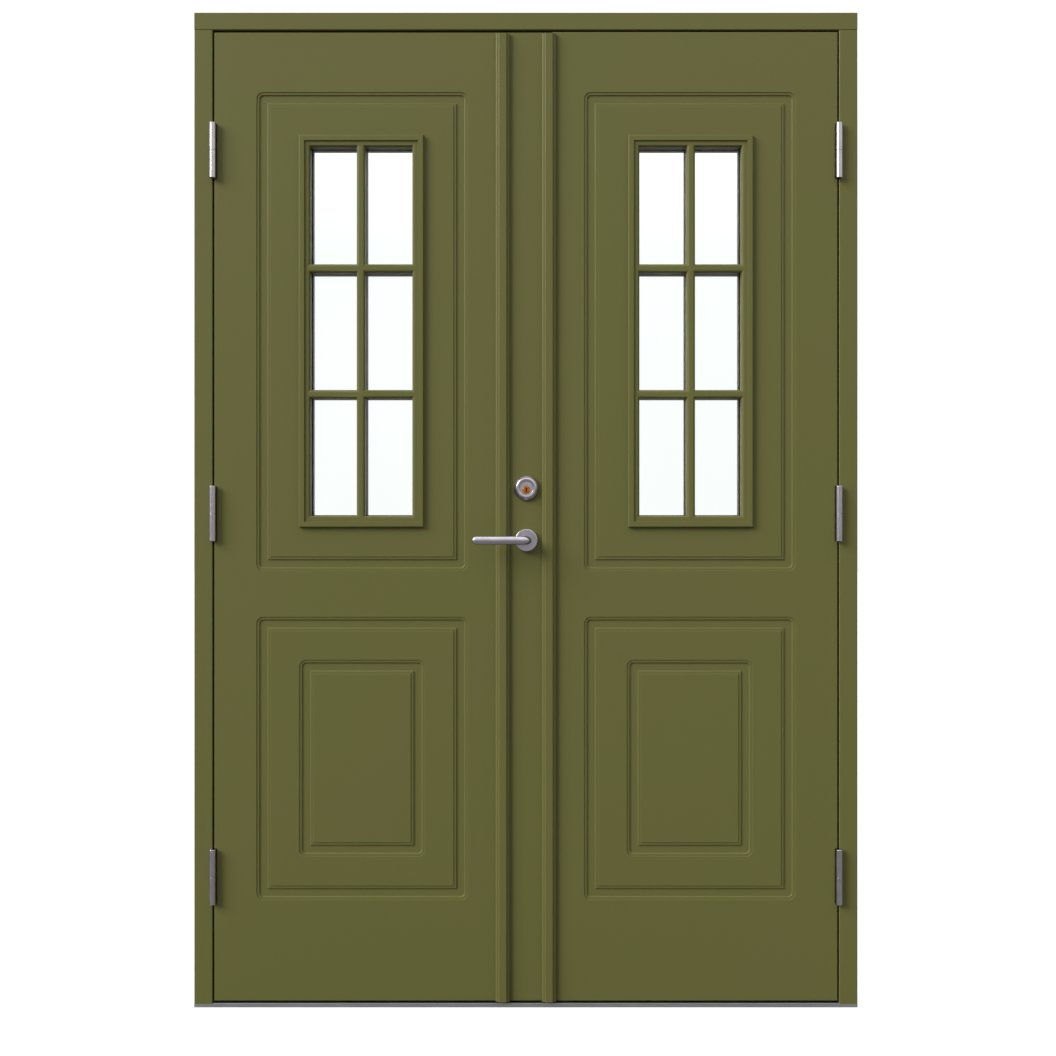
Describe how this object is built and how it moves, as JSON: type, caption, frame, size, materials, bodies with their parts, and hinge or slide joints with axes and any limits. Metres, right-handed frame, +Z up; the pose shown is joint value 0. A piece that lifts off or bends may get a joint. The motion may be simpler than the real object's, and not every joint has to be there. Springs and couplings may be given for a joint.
{
  "type": "french doors",
  "caption": "Outward-opening double doors in their own frame, with routed panels, small-paned windows, lever handle, lock and lift-off hinges.",
  "frame": {"origin": "centre of the sill's underside, halfway through the frame's depth", "axes": "+Z up the doorway, +X to the right seen from outside, -Y outdoors, the way the leaves open"},
  "size_m": [1.39, 0.1765, 2.085],
  "materials": {
    "olive_paint": "satin olive green paint",
    "core_foam": "rigid foam",
    "seal_rubber": "matt black",
    "window_glass": "clear",
    "spacer_bar": "matt dark grey",
    "sill_aluminium": "anodised grey",
    "sill_hardwood": "oiled hardwood",
    "satin_steel": "satin",
    "plug_brass": "satin"
  },
  "bodies": {
    "frame": {"frame_head": "olive_paint", "frame_jamb_left": "olive_paint", "frame_jamb_right": "olive_paint", "threshold_sill": "sill_hardwood", "threshold_cap": "sill_aluminium", "frame_seal": "seal_rubber", "flush_bolt_keepers": "satin_steel", "hinge_left_bottom_frame_half": "satin_steel", "hinge_left_middle_frame_half": "satin_steel", "hinge_left_top_frame_half": "satin_steel", "hinge_right_bottom_frame_half": "satin_steel", "hinge_right_middle_frame_half": "satin_steel", "hinge_right_top_frame_half": "satin_steel"},
    "active_leaf": {"active_leaf_frame": "olive_paint", "active_leaf_core": "core_foam", "active_leaf_skin_outer": "olive_paint", "active_leaf_skin_inner": "olive_paint", "active_window_trim_outer": "olive_paint", "active_window_trim_inner": "olive_paint", "active_window_grille_outer": "olive_paint", "active_window_grille_inner": "olive_paint", "active_window_glass": "window_glass", "active_window_spacer": "spacer_bar", "decor_strip": "olive_paint", "meeting_strip": "olive_paint", "lock_case": "satin_steel", "lock_faceplate": "satin_steel", "cylinder_ring": "satin_steel", "cylinder_body": "satin_steel", "thumb_turn_rose": "satin_steel", "lever_rose_outer": "satin_steel", "lever_rose_inner": "satin_steel", "hinge_left_bottom_leaf_half": "satin_steel", "hinge_left_middle_leaf_half": "satin_steel", "hinge_left_top_leaf_half": "satin_steel"},
    "passive_leaf": {"passive_leaf_frame": "olive_paint", "passive_leaf_core": "core_foam", "passive_leaf_skin_outer": "olive_paint", "passive_leaf_skin_inner": "olive_paint", "passive_window_trim_outer": "olive_paint", "passive_window_trim_inner": "olive_paint", "passive_window_grille_outer": "olive_paint", "passive_window_grille_inner": "olive_paint", "passive_window_glass": "window_glass", "passive_window_spacer": "spacer_bar", "strike_plate": "satin_steel", "flush_bolt_plates": "satin_steel", "meeting_stop": "olive_paint", "hinge_right_bottom_leaf_half": "satin_steel", "hinge_right_middle_leaf_half": "satin_steel", "hinge_right_top_leaf_half": "satin_steel"},
    "lever": {"lever_outer": "satin_steel", "lever_inner": "satin_steel", "lever_spindle": "satin_steel"},
    "lever_bolt": {"lever_bolt": "satin_steel"},
    "thumb_turn": {"thumb_turn": "satin_steel"},
    "dead_bolt": {"dead_bolt": "satin_steel"},
    "key_plug": {"key_plug": "plug_brass"},
    "flush_bolt_top": {"flush_bolt_top": "satin_steel"},
    "flush_bolt_bottom": {"flush_bolt_bottom": "satin_steel"}
  },
  "joints": [
    {"name": "active_leaf_swing", "type": "hinge", "parent": "frame", "child": "active_leaf", "pos_m": [-0.6548, -0.06, 1.0345], "axis": [0, 0, -1], "range_deg": [0, 110]},
    {"name": "passive_leaf_swing", "type": "hinge", "parent": "frame", "child": "passive_leaf", "pos_m": [0.6548, -0.06, 1.0345], "axis": [0, 0, 1], "range_deg": [0, 110]},
    {"name": "lever_turn", "type": "hinge", "parent": "active_leaf", "child": "lever", "pos_m": [0.001, -0.0215, 0.9788], "axis": [0, -1, 0], "range_deg": [0, 90]},
    {"name": "lever_bolt_slide", "type": "slide", "parent": "active_leaf", "child": "lever_bolt", "axis": [1, 0, 0], "range_m": [0, 0.018]},
    {"name": "thumb_turn_turn", "type": "hinge", "parent": "active_leaf", "child": "thumb_turn", "pos_m": [0.001, 0.0095, 1.0838], "axis": [0, -1, 0], "range_deg": [0, 90]},
    {"name": "dead_bolt_slide", "type": "slide", "parent": "active_leaf", "child": "dead_bolt", "axis": [1, 0, 0], "range_m": [0, 0.02]},
    {"name": "key_plug_turn", "type": "hinge", "parent": "active_leaf", "child": "key_plug", "pos_m": [0.001, -0.0525, 1.0838], "axis": [0, -1, 0], "range_deg": [0, 90]},
    {"name": "flush_bolt_top_slide", "type": "slide", "parent": "passive_leaf", "child": "flush_bolt_top", "axis": [0, 0, 1], "range_m": [0, 0.012]},
    {"name": "flush_bolt_bottom_slide", "type": "slide", "parent": "passive_leaf", "child": "flush_bolt_bottom", "axis": [0, 0, -1], "range_m": [0, 0.012]}
  ],
  "couplings": [
    {"joint": "passive_leaf_swing", "follows": "active_leaf_swing", "ratio": 1},
    {"joint": "lever_bolt_slide", "follows": "lever_turn", "m_per_rad": 0.011459},
    {"joint": "dead_bolt_slide", "follows": "thumb_turn_turn", "m_per_rad": 0.012732},
    {"joint": "key_plug_turn", "follows": "thumb_turn_turn", "ratio": 1}
  ]
}
